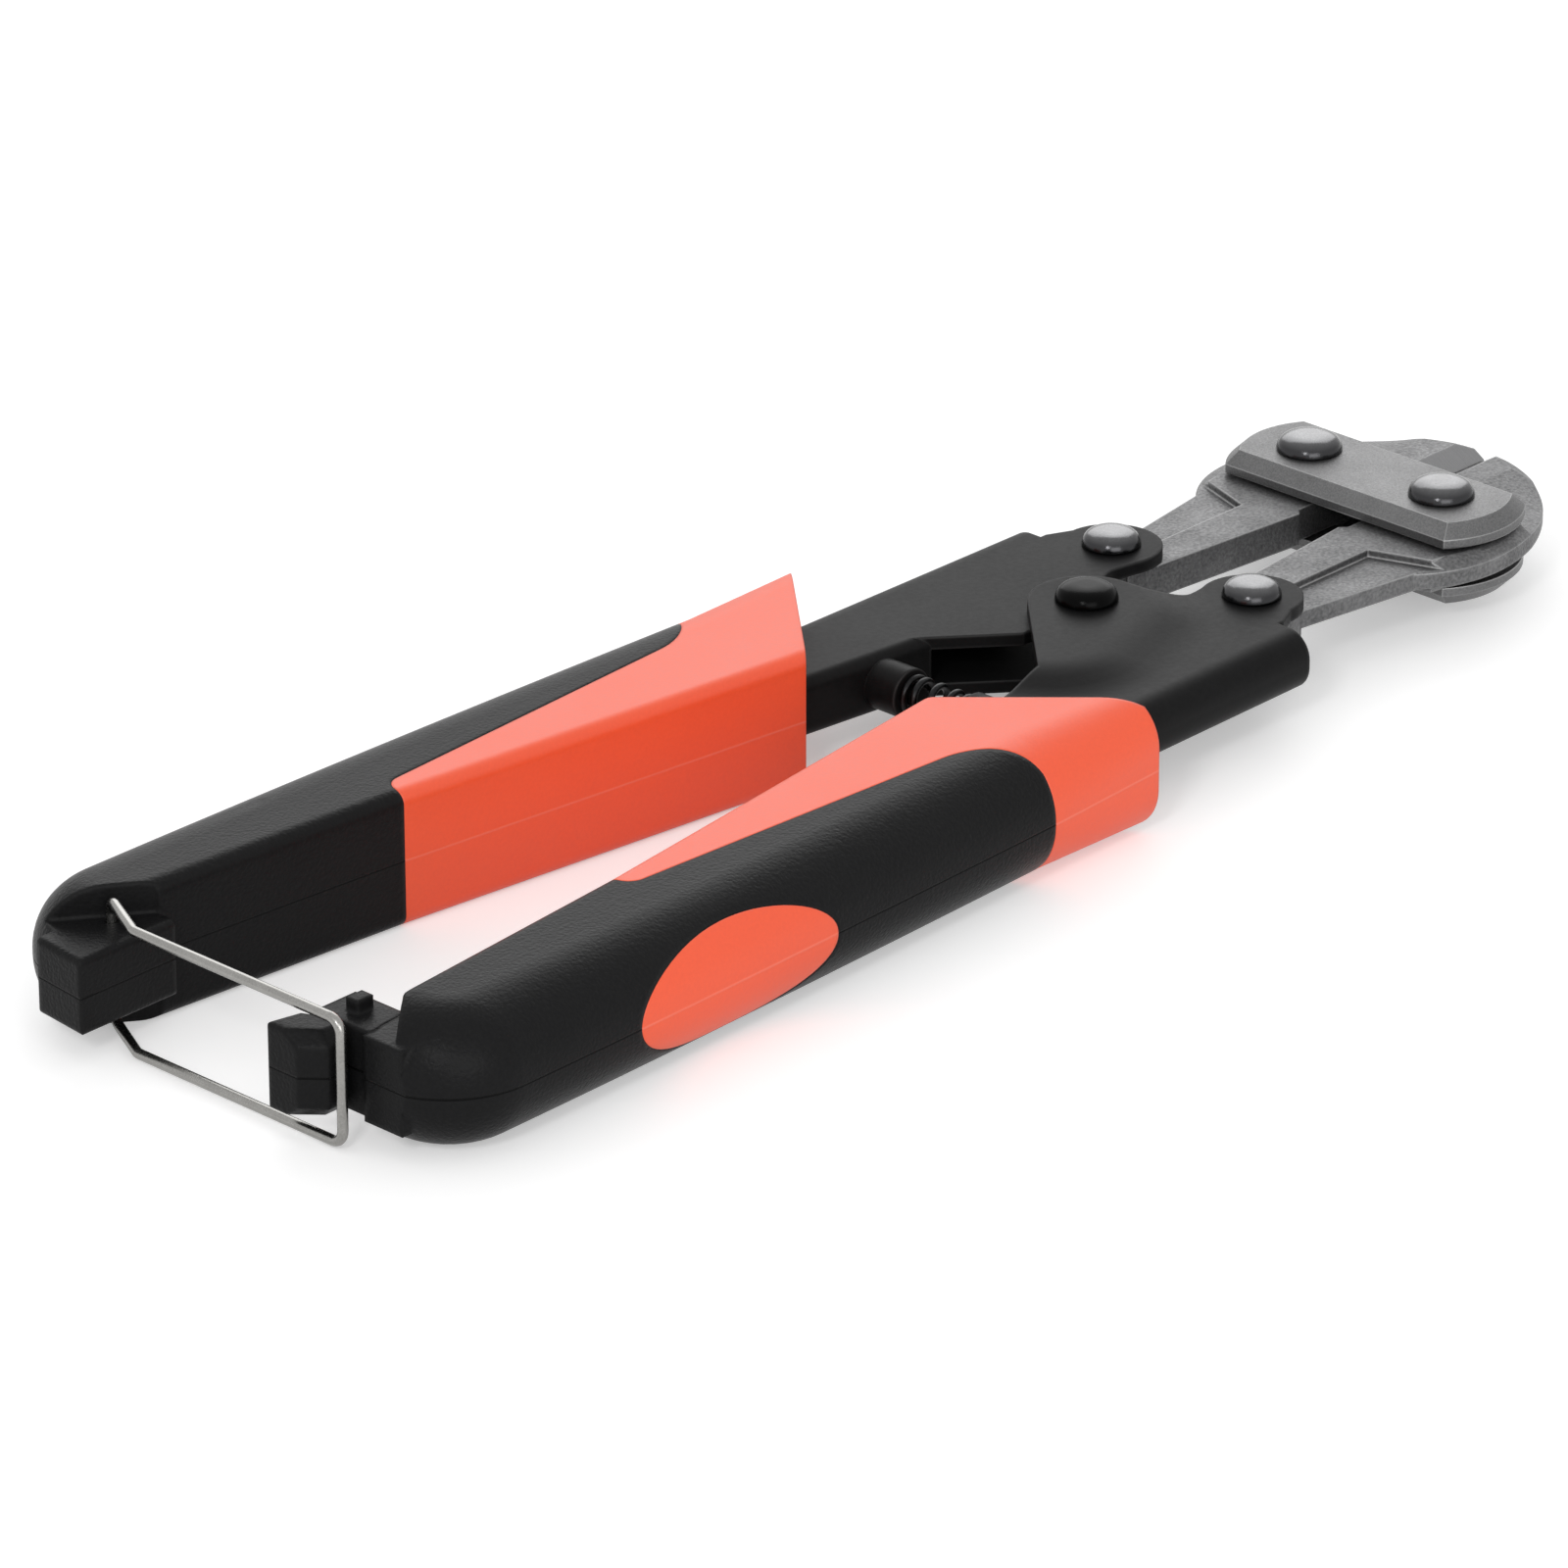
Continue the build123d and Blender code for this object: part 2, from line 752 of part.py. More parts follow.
def build_nodes():
    """All pieces by node name, about the centre pivot."""
    nodes = {}
    for side, name in ((FAR, "far"), (NEAR, "near")):
        nodes[f"jaw_{name}"] = jaw(side)
        nodes[f"arm_{name}"] = arm(side)
        base, cover = grip_pieces(side)
        nodes[f"grip_base_{name}"] = base
        nodes[f"grip_cover_{name}"] = cover
        nodes[f"spring_seat_{name}"] = spring_seat(side)
        nodes[f"strap_rivet_{name}"] = rivet(
            strap_rivet_x, side * strap_rivet_y, strap_shank_r, strap_head_r, strap_out)
        nodes[f"jaw_rivet_{name}"] = rivet(
            jaw_rivet_x, side * jaw_rivet_y, jaw_shank_r, jaw_head_r, flange_out)
    nodes["strap_top"] = strap("top")
    nodes["strap_bottom"] = strap("bottom")
    nodes["centre_rivet"] = rivet(0, 0, centre_shank_r, centre_head_r, lap_out + face_gap)
    nodes["centre_bush"] = centre_bush()
    nodes["return_spring"] = return_spring()
    nodes["bail"] = bail()
    nodes["latch_hook"] = latch_hook() - nodes["grip_cover_near"]
    return nodes


os.makedirs("parts", exist_ok=True)
print_spring_gap()
middle_x = (tip_reach + rear_x - tongue_extra) / 2
shift = Pos(-middle_x, 0, grip_half)
for name, solid in build_nodes().items():
    placed = shift * solid
    placed.label = name
    export_step(placed, f"parts/{name}.step")
    print(name, len(placed.solids()), round(placed.volume, 1))
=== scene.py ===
from math import cos, pi, radians, sin

import bpy
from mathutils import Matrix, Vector


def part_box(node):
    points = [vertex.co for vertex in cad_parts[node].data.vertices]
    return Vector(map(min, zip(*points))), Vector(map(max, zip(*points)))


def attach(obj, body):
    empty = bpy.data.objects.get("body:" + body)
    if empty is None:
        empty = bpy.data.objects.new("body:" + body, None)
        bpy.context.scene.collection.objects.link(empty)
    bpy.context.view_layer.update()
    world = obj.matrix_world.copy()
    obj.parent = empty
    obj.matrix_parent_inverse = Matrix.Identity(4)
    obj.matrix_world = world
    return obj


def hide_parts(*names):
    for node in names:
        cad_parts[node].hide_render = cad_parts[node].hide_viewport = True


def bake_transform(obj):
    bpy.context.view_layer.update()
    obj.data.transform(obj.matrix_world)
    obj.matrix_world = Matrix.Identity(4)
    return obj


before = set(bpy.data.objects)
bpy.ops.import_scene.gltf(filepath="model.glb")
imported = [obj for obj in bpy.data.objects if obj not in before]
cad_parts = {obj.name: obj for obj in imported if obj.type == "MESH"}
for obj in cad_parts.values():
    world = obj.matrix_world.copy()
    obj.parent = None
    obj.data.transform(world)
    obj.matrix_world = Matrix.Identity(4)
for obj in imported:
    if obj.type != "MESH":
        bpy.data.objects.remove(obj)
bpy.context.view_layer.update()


# Jaws
# Two drop forged steel jaws, bead blasted to a satin grey, with the bevels of the blades
# ground afterwards. Each hangs on a strap rivet and is pushed by the rivet of its arm.
def add(tree, kind, sockets, **settings):
    """A node in a tree, with values or links on its input sockets."""
    node = tree.nodes.new(kind)
    for name, value in settings.items():
        setattr(node, name, value)
    for name, value in sockets.items():
        if isinstance(value, bpy.types.NodeSocket):
            tree.links.new(value, node.inputs[name])
        else:
            node.inputs[name].default_value = value
    return node


def calc(tree, operation, first, second=0.0, third=0.0):
    """The result of one sum in a node tree."""
    sockets = {0: first, 1: second, 2: third}
    return add(tree, "ShaderNodeMath", sockets, operation=operation).outputs[0]


def tint(tree, share, first, second):
    """A colour between two colours."""
    # Inputs 6 and 7 of a Mix node are its two colours, and output 2 is the mixed one
    sockets = {0: share, 6: first, 7: second}
    return add(tree, "ShaderNodeMix", sockets, data_type="RGBA").outputs[2]


def span(tree, value, from_low, from_high, low, high):
    """A value carried from one range to another, clamped."""
    sockets = {
        "Value": value, "From Min": from_low, "From Max": from_high, "To Min": low, "To Max": high}
    return add(tree, "ShaderNodeMapRange", sockets).outputs["Result"]


def ease(tree, share, low, high):
    """A value between two ends, by a share from nought to one."""
    return span(tree, share, 0.0, 1.0, low, high)


def noise(tree, vector, scale, detail):
    """The value of a noise over some coordinates."""
    sockets = {"Vector": vector, "Scale": scale, "Detail": detail}
    return add(tree, "ShaderNodeTexNoise", sockets).outputs["Fac"]


def fine_lines(tree, vector, scale, detail):
    """A noise drawn out into lines, with a scale of its own along each axis."""
    drawn_out = add(tree, "ShaderNodeMapping", {"Vector": vector, "Scale": scale})
    return noise(tree, drawn_out.outputs["Vector"], 1.0, detail)


def new_group(name, inputs, outputs):
    """An empty shader group with named float or vector sockets."""
    tree = bpy.data.node_groups.new(name, "ShaderNodeTree")
    for socket, kind, value in inputs:
        made = tree.interface.new_socket(socket, in_out="INPUT", socket_type=kind)
        if value is not None:
            made.default_value = value
    for socket, kind in outputs:
        tree.interface.new_socket(socket, in_out="OUTPUT", socket_type=kind)
    given = tree.nodes.new("NodeGroupInput").outputs
    out = tree.nodes.new("NodeGroupOutput").inputs
    return tree, given, out


def place_group(tree, group, sockets):
    """The outputs of a shader group set into a material with its own values."""
    return add(tree, "ShaderNodeGroup", sockets, node_tree=group).outputs


def new_material(name):
    """A material with its tree, its shader and its Object coordinates."""
    material = bpy.data.materials.new(name)
    material.use_nodes = True
    tree = material.node_tree
    coordinates = tree.nodes.new("ShaderNodeTexCoord").outputs["Object"]
    return material, tree, tree.nodes["Principled BSDF"], coordinates


def finish_shader(tree, shader, colour, roughness, height, depth, normal):
    """Colour, roughness and bump joined to a shader."""
    bump = add(tree, "ShaderNodeBump", {"Height": height, "Distance": depth, "Normal": normal})
    tree.links.new(colour, shader.inputs["Base Color"])
    tree.links.new(roughness, shader.inputs["Roughness"])
    tree.links.new(bump.outputs["Normal"], shader.inputs["Normal"])


def dress(material, *names):
    """A finish on the CAD nodes that are shown as they are."""
    for name in names:
        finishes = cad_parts[name].data.materials
        finishes.clear()
        finishes.append(material)


VALUE = "NodeSocketFloat"
VECTOR = "NodeSocketVector"

rounded_edge, given, out = new_group(
    "rounded_edge", [("Radius", VALUE, 0.0003), ("Gain", VALUE, 5.0)],
    [("Normal", VECTOR), ("Edge", VALUE)])
bevel = add(rounded_edge, "ShaderNodeBevel", {"Radius": given["Radius"]}, samples=8)
soft = bevel.outputs["Normal"]
facing = rounded_edge.nodes.new("ShaderNodeNewGeometry").outputs["Normal"]
agree = add(rounded_edge, "ShaderNodeVectorMath", {0: soft, 1: facing}, operation="DOT_PRODUCT")
bent_away = calc(rounded_edge, "SUBTRACT", 1.0, agree.outputs["Value"])
lift = calc(rounded_edge, "MULTIPLY", bent_away, given["Gain"])
rounded_edge.links.new(soft, out["Normal"])
rounded_edge.links.new(ease(rounded_edge, lift, 0.0, 1.0), out["Edge"])

grit_share = 0.65
patch_share = 0.35
tone_low = 0.3
tone_high = 0.7
fine_grain, given, out = new_group(
    "fine_grain", [("Vector", VECTOR, None), ("Grain", VALUE, 4000.0), ("Patch", VALUE, 150.0)],
    [("Height", VALUE), ("Tone", VALUE)])
grit = noise(fine_grain, given["Vector"], given["Grain"], 3.0)
patch = noise(fine_grain, given["Vector"], given["Patch"], 4.0)
cloud = calc(fine_grain, "MULTIPLY", patch, patch_share)
tone = calc(fine_grain, "MULTIPLY_ADD", grit, grit_share, cloud)
fine_grain.links.new(grit, out["Height"])
fine_grain.links.new(span(fine_grain, tone, tone_low, tone_high, 0.0, 1.0), out["Tone"])

blade_root_x = 0.0918
bevel_half = 0.0031
pit_depth = 0.00009
blasted_dark = (0.09, 0.09, 0.0915, 1)
blasted_light = (0.21, 0.21, 0.212, 1)
ground_grey = (0.22, 0.22, 0.223, 1)
jaw_edge_wear_and_highlight = (0.42, 0.42, 0.42, 1)
jaw_edge_wear_and_highlight_share = 0.7
ground_smoother = -0.12
stroke_scale = (5200.0, 260.0, 260.0)

forged_steel, tree, shader, coordinates = new_material("forged_steel")
shader.inputs["Metallic"].default_value = 1.0
edge = place_group(tree, rounded_edge, {"Radius": 0.00045, "Gain": 6.0})
grain = place_group(tree, fine_grain, {"Vector": coordinates, "Grain": 2600.0, "Patch": 180.0})
spot = add(tree, "ShaderNodeSeparateXYZ", {"Vector": coordinates}).outputs
on_blade = calc(tree, "GREATER_THAN", spot["X"], blade_root_x)
on_bevel = calc(tree, "LESS_THAN", calc(tree, "ABSOLUTE", spot["Y"]), bevel_half)
ground = calc(tree, "MULTIPLY", on_blade, on_bevel)
stroke = fine_lines(tree, coordinates, stroke_scale, 3.0)
steel = tint(tree, grain["Tone"], blasted_dark, blasted_light)
steel = tint(tree, ground, steel, ground_grey)
# The edges are lightened through the edge mask: partly wear, partly a painted highlight along them.
steel = tint(tree, calc(tree, "MULTIPLY", edge["Edge"], jaw_edge_wear_and_highlight_share), steel, jaw_edge_wear_and_highlight)
rough = ease(tree, grain["Tone"], 0.58, 0.48)
rough = calc(tree, "MULTIPLY_ADD", ground, ground_smoother, rough)
pits = calc(tree, "MULTIPLY", grain["Height"], calc(tree, "SUBTRACT", 1.0, ground))
height = calc(tree, "MULTIPLY_ADD", stroke, ground, pits)
finish_shader(tree, shader, steel, rough, height, pit_depth, edge["Normal"])
dress(forged_steel, "jaw_far", "jaw_near")


# Straps
# Two link plates of blanked steel, bevelled round their outer faces and blasted finer than the
# jaws. They lie over and under the jaws and are held by the two strap rivets.
plate_dark = (0.11, 0.11, 0.111, 1)
plate_light = (0.2, 0.2, 0.201, 1)
plate_edge_wear_and_highlight = (0.55, 0.55, 0.55, 1)
plate_edge_wear_and_highlight_share = 0.8
plate_pit_depth = 0.00004

strap_steel, tree, shader, coordinates = new_material("strap_steel")
shader.inputs["Metallic"].default_value = 1.0
edge = place_group(tree, rounded_edge, {"Radius": 0.0003, "Gain": 7.0})
grain = place_group(tree, fine_grain, {"Vector": coordinates, "Grain": 5200.0, "Patch": 120.0})
plate = tint(tree, grain["Tone"], plate_dark, plate_light)
# The bevel edges are lightened through the edge mask: partly wear, partly a painted highlight along
# them.
plate = tint(tree, calc(tree, "MULTIPLY", edge["Edge"], plate_edge_wear_and_highlight_share), plate, plate_edge_wear_and_highlight)
rough = ease(tree, grain["Tone"], 0.5, 0.42)
finish_shader(tree, shader, plate, rough, grain["Height"], plate_pit_depth, edge["Normal"])
dress(strap_steel, "strap_top", "strap_bottom")


# Rivets
# Steel rivets with a domed head at each end, closed on a spinning head that leaves fine rings.
# The strap and jaw rivets are polished, and the centre rivet is blackened.
def shape_tree(name, sizes):
    """An empty Geometry Nodes tree with named sizes and a finish."""
    tree = bpy.data.node_groups.new(name, "GeometryNodeTree")
    tree.interface.new_socket("Geometry", in_out="INPUT", socket_type="NodeSocketGeometry")
    for size in sizes:
        tree.interface.new_socket(size, in_out="INPUT", socket_type=VALUE)
    tree.interface.new_socket("Finish", in_out="INPUT", socket_type="NodeSocketMaterial")
    tree.interface.new_socket("Geometry", in_out="OUTPUT", socket_type="NodeSocketGeometry")
    return tree, tree.nodes.new("NodeGroupInput").outputs


def set_on_points(tree, given, shape):
    """One copy of a shape on each point, made plain mesh and given its finish."""
    copies = add(tree, "GeometryNodeInstanceOnPoints", {"Points": given["Geometry"], "Instance": shape})
    solid = add(tree, "GeometryNodeRealizeInstances", {"Geometry": copies.outputs[0]})
    sockets = {"Geometry": solid.outputs[0], "Material": given["Finish"]}
    coloured = add(tree, "GeometryNodeSetMaterial", sockets)
    result = tree.nodes.new("NodeGroupOutput").inputs
    tree.links.new(coloured.outputs[0], result["Geometry"])


def rivet_tree():
    """A tree that sets one turned rivet on each point of a mesh."""
    around = 72
    along = 46
    shank_share = 0.2
    dome_power = 0.45
    weld = 0.000002
    sharpest_bend = radians(40)
    tree, given = shape_tree(
        "turned_rivet", ("Head Radius", "Head Rise", "Shank Radius", "Seat Height"))

    grid = add(tree, "GeometryNodeMeshGrid", {
        "Size X": 1.0, "Size Y": 1.0, "Vertices X": around + 1, "Vertices Y": along})
    position = tree.nodes.new("GeometryNodeInputPosition").outputs[0]
    spot = add(tree, "ShaderNodeSeparateXYZ", {"Vector": position}).outputs
    angle = calc(tree, "MULTIPLY", spot["X"], 2 * pi)
    from_middle = calc(tree, "MULTIPLY", calc(tree, "ABSOLUTE", spot["Y"]), 2.0)
    in_head = calc(tree, "GREATER_THAN", from_middle, shank_share)
    bow = span(tree, from_middle, shank_share, 1.0, pi / 2, 0.0)
    head_r = calc(tree, "POWER", calc(tree, "ABSOLUTE", calc(tree, "SINE", bow)), dome_power)
    head_r = calc(tree, "MULTIPLY", head_r, given["Head Radius"])
    dome = calc(tree, "COSINE", bow)
    head_z = calc(tree, "MULTIPLY_ADD", dome, given["Head Rise"], given["Seat Height"])
    up_shank = calc(tree, "DIVIDE", from_middle, shank_share)
    shank_z = calc(tree, "MULTIPLY", up_shank, given["Seat Height"])
    radius = add(tree, "ShaderNodeMix", {0: in_head, 2: given["Shank Radius"], 3: head_r}).outputs[0]
    level = add(tree, "ShaderNodeMix", {0: in_head, 2: shank_z, 3: head_z}).outputs[0]
    level = calc(tree, "MULTIPLY", level, calc(tree, "SIGN", spot["Y"]))
    turned = add(tree, "ShaderNodeCombineXYZ", {
        "X": calc(tree, "MULTIPLY", radius, calc(tree, "COSINE", angle)),
        "Y": calc(tree, "MULTIPLY", radius, calc(tree, "SINE", angle)),
        "Z": level})

    sockets = {"Geometry": grid.outputs["Mesh"], "Name": "rings", "Value": grid.outputs["UV Map"]}
    ringed = add(
        tree, "GeometryNodeStoreNamedAttribute", sockets, data_type="FLOAT2", domain="CORNER")
    sockets = {"Geometry": ringed.outputs[0], "Position": turned.outputs[0]}
    shaped = add(tree, "GeometryNodeSetPosition", sockets)
    sockets = {"Geometry": shaped.outputs[0], "Distance": weld}
    closed = add(tree, "GeometryNodeMergeByDistance", sockets)
    bend = tree.nodes.new("GeometryNodeInputMeshEdgeAngle").outputs["Unsigned Angle"]
    gentle = calc(tree, "LESS_THAN", bend, sharpest_bend)
    sockets = {0: closed.outputs[0], "Shade Smooth": gentle}
    smooth = add(tree, "GeometryNodeSetShadeSmooth", sockets, domain="EDGE")
    set_on_points(tree, given, smooth.outputs[0])
    return tree


def grow(name, points, tree, values):
    """The plain mesh that a tree makes from a few points."""
    seed = bpy.data.meshes.new(name + "_seed")
    seed.from_pydata(points, [], [])
    piece = bpy.data.objects.new(name, seed)
    bpy.context.scene.collection.objects.link(piece)
    modifier = piece.modifiers.new("shape", "NODES")
    modifier.node_group = tree
    for item in tree.interface.items_tree:
        if item.in_out == "INPUT" and item.name in values:
            modifier[item.identifier] = values[item.name]
    bpy.context.view_layer.update()
    shown = piece.evaluated_get(bpy.context.evaluated_depsgraph_get())
    made = bpy.data.meshes.new_from_object(shown)
    piece.modifiers.remove(modifier)
    piece.data = made
    return piece


def set_rivets(name, body, slot, finish, shank_r, *covered):
    """Turned rivets in the places and sizes of the CAD ones."""
    middles = []
    for node in covered:
        low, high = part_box(node)
        middles.append((low + high) / 2)
    head_r = (high.x - low.x) / 2
    seat = (high.z - low.z) / 2 - head_rise
    piece = grow(name, middles, turned_rivet, {
        "Head Radius": head_r, "Head Rise": head_rise, "Shank Radius": shank_r,
        "Seat Height": seat, "Finish": finish})
    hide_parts(*covered)
    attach(piece, body)


def rivet_finish(name, rim_shade, dark, light, worn):
    """Polished dome with fine turned rings, darkened by painted shade towards the foot of the head, and
    worn on the edge.
    """
    crown_start = 0.24
    crown_full = 0.46
    rim_wear = 0.2
    ring_depth = 0.000004
    material, tree, shader, coordinates = new_material(name)
    along = add(tree, "ShaderNodeAttribute", {}, attribute_name="rings").outputs["Vector"]
    ring = fine_lines(tree, along, (2.0, 420.0, 1.0), 2.0)
    grain = place_group(tree, fine_grain, {"Vector": coordinates, "Grain": 6000.0, "Patch": 500.0})
    edge = place_group(tree, rounded_edge, {"Radius": 0.0002, "Gain": 4.0})
    run = add(tree, "ShaderNodeSeparateXYZ", {"Vector": along}).outputs["Y"]
    from_middle = calc(tree, "ABSOLUTE", calc(tree, "SUBTRACT", run, 0.5))
    crown = span(tree, from_middle, crown_start, crown_full, 0.0, 1.0)
    # The foot of each head is painted darker, as the shade between the head and the plate under it.
    colour = tint(tree, crown, rim_shade, tint(tree, grain["Tone"], dark, light))
    colour = tint(tree, calc(tree, "MULTIPLY", edge["Edge"], rim_wear), colour, worn)
    rough = ease(tree, grain["Tone"], 0.12, 0.22)
    finish_shader(tree, shader, colour, rough, ring, ring_depth, edge["Normal"])
    return material, shader


head_rise = 0.0019
strap_shank_r = 0.0026
jaw_shank_r = 0.0022
centre_shank_r = 0.0024
turned_rivet = rivet_tree()

rivet_steel, shader = rivet_finish(
    "rivet_steel", rim_shade=(0.045, 0.045, 0.047, 1), dark=(0.11, 0.11, 0.113, 1),
    light=(0.19, 0.19, 0.194, 1), worn=(0.3, 0.3, 0.3, 1))
shader.inputs["Metallic"].default_value = 1.0
rivet_black, shader = rivet_finish(
    "rivet_black", rim_shade=(0.001, 0.001, 0.001, 1), dark=(0.002, 0.002, 0.002, 1),
    light=(0.004, 0.004, 0.004, 1), worn=(0.015, 0.015, 0.015, 1))
shader.inputs["Specular IOR Level"].default_value = 0.05

set_rivets(
    "rivets_strap", "strap", "rivet_steel", rivet_steel, strap_shank_r,
    "strap_rivet_far", "strap_rivet_near")
set_rivets("rivet_jaw_far", "far_handle", "rivet_steel", rivet_steel, jaw_shank_r, "jaw_rivet_far")
set_rivets("rivet_jaw_near", "near_handle", "rivet_steel", rivet_steel, jaw_shank_r, "jaw_rivet_near")
set_rivets("rivet_centre", "far_handle", "rivet_black", rivet_black, centre_shank_r, "centre_rivet")


# Arms and spring seats
# Arms pressed from sheet steel, with a bent outer web and two eared flanges, and the bosses for
# the spring on their inner walls. They are sprayed satin black, thin on the cut edges.
paint_dark = (0.006, 0.006, 0.0061, 1)
paint_light = (0.009, 0.009, 0.0092, 1)
paint_worn = (0.07, 0.07, 0.07, 1)
paint_wear = 0.45
paint_grain_depth = 0.000012

arm_paint, tree, shader, coordinates = new_material("arm_paint")
shader.inputs["Specular IOR Level"].default_value = 0.062
edge = place_group(tree, rounded_edge, {"Radius": 0.0006, "Gain": 5.0})
grain = place_group(tree, fine_grain, {"Vector": coordinates, "Grain": 1500.0, "Patch": 90.0})
paint = tint(tree, grain["Tone"], paint_dark, paint_light)
paint = tint(tree, calc(tree, "MULTIPLY", edge["Edge"], paint_wear), paint, paint_worn)
rough = ease(tree, grain["Tone"], 0.36, 0.46)
finish_shader(tree, shader, paint, rough, grain["Height"], paint_grain_depth, edge["Normal"])
dress(arm_paint, "arm_far", "arm_near", "spring_seat_far", "spring_seat_near")


# Centre bush
# A sleeve turned from steel bar, with fine tool marks round it. It sits on the centre rivet and
# keeps the inner arm's flanges apart.
sleeve_dark = (0.33, 0.33, 0.34, 1)
sleeve_light = (0.48, 0.48, 0.49, 1)
tool_mark_scale = (60.0, 60.0, 7000.0)
tool_mark_depth = 0.00001

bush_steel, tree, shader, coordinates = new_material("bush_steel")
shader.inputs["Metallic"].default_value = 1.0
edge = place_group(tree, rounded_edge, {"Radius": 0.0002, "Gain": 5.0})
tool_mark = fine_lines(tree, coordinates, tool_mark_scale, 2.0)
sleeve = tint(tree, tool_mark, sleeve_dark, sleeve_light)
rough = span(tree, tool_mark, 0.3, 0.7, 0.26, 0.4)
finish_shader(tree, shader, sleeve, rough, tool_mark, tool_mark_depth, edge["Normal"])
dress(bush_steel, "centre_bush")


# Return spring
# A coil of oiled spring wire with closed ends, pressed between the two seats so that it pushes
# the handles apart when the bail is lifted.
def coil_tree():
    """A tree that winds one wire about the Y axis, with closed end turns."""
    per_turn = 40
    wire_sides = 14
    tree, given = shape_tree("wound_coil", ("Turns", "Coil Radius", "Wire Radius", "Length"))
    helix = add(tree, "GeometryNodeCurveSpiral", {
        "Resolution": per_turn, "Rotations": given["Turns"], "Start Radius": given["Coil Radius"],
        "End Radius": given["Coil Radius"], "Height": 1.0})
    position = tree.nodes.new("GeometryNodeInputPosition").outputs[0]
    spot = add(tree, "ShaderNodeSeparateXYZ", {"Vector": position}).outputs
    eased = add(tree, "ShaderNodeMapRange", {"Value": spot["Z"]}, interpolation_type="SMOOTHSTEP")
    from_middle = calc(tree, "SUBTRACT", eased.outputs["Result"], 0.5)
    run = calc(tree, "MULTIPLY", from_middle, given["Length"])
    wound = add(tree, "ShaderNodeCombineXYZ", {"X": spot["X"], "Y": run, "Z": spot["Y"]})
    sockets = {"Geometry": helix.outputs[0], "Position": wound.outputs[0]}
    laid = add(tree, "GeometryNodeSetPosition", sockets)
    sockets = {"Resolution": wire_sides, "Radius": given["Wire Radius"]}
    wire = add(tree, "GeometryNodeCurvePrimitiveCircle", sockets)
    tube = add(tree, "GeometryNodeCurveToMesh", {
        "Curve": laid.outputs[0], "Profile Curve": wire.outputs["Curve"], "Fill Caps": True})
    smooth = add(tree, "GeometryNodeSetShadeSmooth", {0: tube.outputs[0]})
    set_on_points(tree, given, smooth.outputs[0])
    return tree


oiled_dark = (0.012, 0.012, 0.0123, 1)
oiled_light = (0.03, 0.03, 0.031, 1)
oiled_grain_depth = 0.00001

spring_steel, tree, shader, coordinates = new_material("spring_steel")
shader.inputs["Metallic"].default_value = 1.0
grain = place_group(tree, fine_grain, {"Vector": coordinates, "Grain": 5000.0, "Patch": 900.0})
oiled = tint(tree, grain["Tone"], oiled_dark, oiled_light)
rough = ease(tree, grain["Tone"], 0.25, 0.4)
edge = place_group(tree, rounded_edge, {"Radius": 0.0001, "Gain": 4.0})
finish_shader(tree, shader, oiled, rough, grain["Height"], oiled_grain_depth, edge["Normal"])

low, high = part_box("return_spring")
spring_middle = (low + high) / 2
spring_turns = 5.0
wire_r = 0.0004
coil_r = (high.z - low.z) / 2 - wire_r
seat_gap = 0.0085
spring = grow("return_spring_wire", [spring_middle], coil_tree(), {
    "Turns": spring_turns, "Coil Radius": coil_r, "Wire Radius": wire_r, "Length": seat_gap,
    "Finish": spring_steel})
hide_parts("return_spring")
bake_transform(spring)


# Grip bases
# Orange plastic bases moulded round the arms' tangs in a two-part mould, with a fine seam at
# half height and a smooth satin skin.
mould_seam, given, out = new_group(
    "mould_seam", [("Vector", VECTOR, None), ("Level", VALUE, 0.0082), ("Width", VALUE, 0.0002)],
    [("Seam", VALUE)])
level = add(mould_seam, "ShaderNodeSeparateXYZ", {"Vector": given["Vector"]}).outputs["Z"]
away = calc(mould_seam, "ABSOLUTE", calc(mould_seam, "SUBTRACT", level, given["Level"]))
mould_seam.links.new(span(mould_seam, away, 0.0, given["Width"], 1.0, 0.0), out["Seam"])

orange_deep = (0.80, 0.076, 0.017, 1)
orange_bright = (0.86, 0.088, 0.02, 1)
orange_seam = (0.92, 0.22, 0.14, 1)
seam_strength = 0.45
seam_rise = 4.0
plastic_grain_depth = 0.000012

grip_orange, tree, shader, coordinates = new_material("grip_orange")
shader.inputs["Specular IOR Level"].default_value = 0.7
shader.inputs["Subsurface Weight"].default_value = 0.06
shader.inputs["Subsurface Radius"].default_value = (0.002, 0.0006, 0.0003)
edge = place_group(tree, rounded_edge, {"Radius": 0.0005, "Gain": 4.0})
grain = place_group(tree, fine_grain, {"Vector": coordinates, "Grain": 2600.0, "Patch": 60.0})
seam = place_group(tree, mould_seam, {"Vector": coordinates, "Width": 0.00022})["Seam"]
orange = tint(tree, grain["Tone"], orange_deep, orange_bright)
orange = tint(tree, calc(tree, "MULTIPLY", seam, seam_strength), orange, orange_seam)
rough = ease(tree, grain["Tone"], 0.42, 0.5)
height = calc(tree, "MULTIPLY_ADD", seam, seam_rise, grain["Height"])
finish_shader(tree, shader, orange, rough, height, plastic_grain_depth, edge["Normal"])
dress(grip_orange, "grip_base_far", "grip_base_near")


# Grip covers and latch hook
# Black thermoplastic rubber moulded over the bases, with a fine matt grain and an open seam
# groove. The hook for the bail is moulded in one with the near cover's end.
rubber_dark = (0.0082, 0.0082, 0.0085, 1)
rubber_light = (0.0114, 0.0114, 0.0117, 1)
rubber_seam = (0.003, 0.003, 0.003, 1)
rubber_worn = (0.035, 0.035, 0.035, 1)
rubber_wear = 0.2
seam_groove = -3.0
rubber_grain_depth = 0.00008

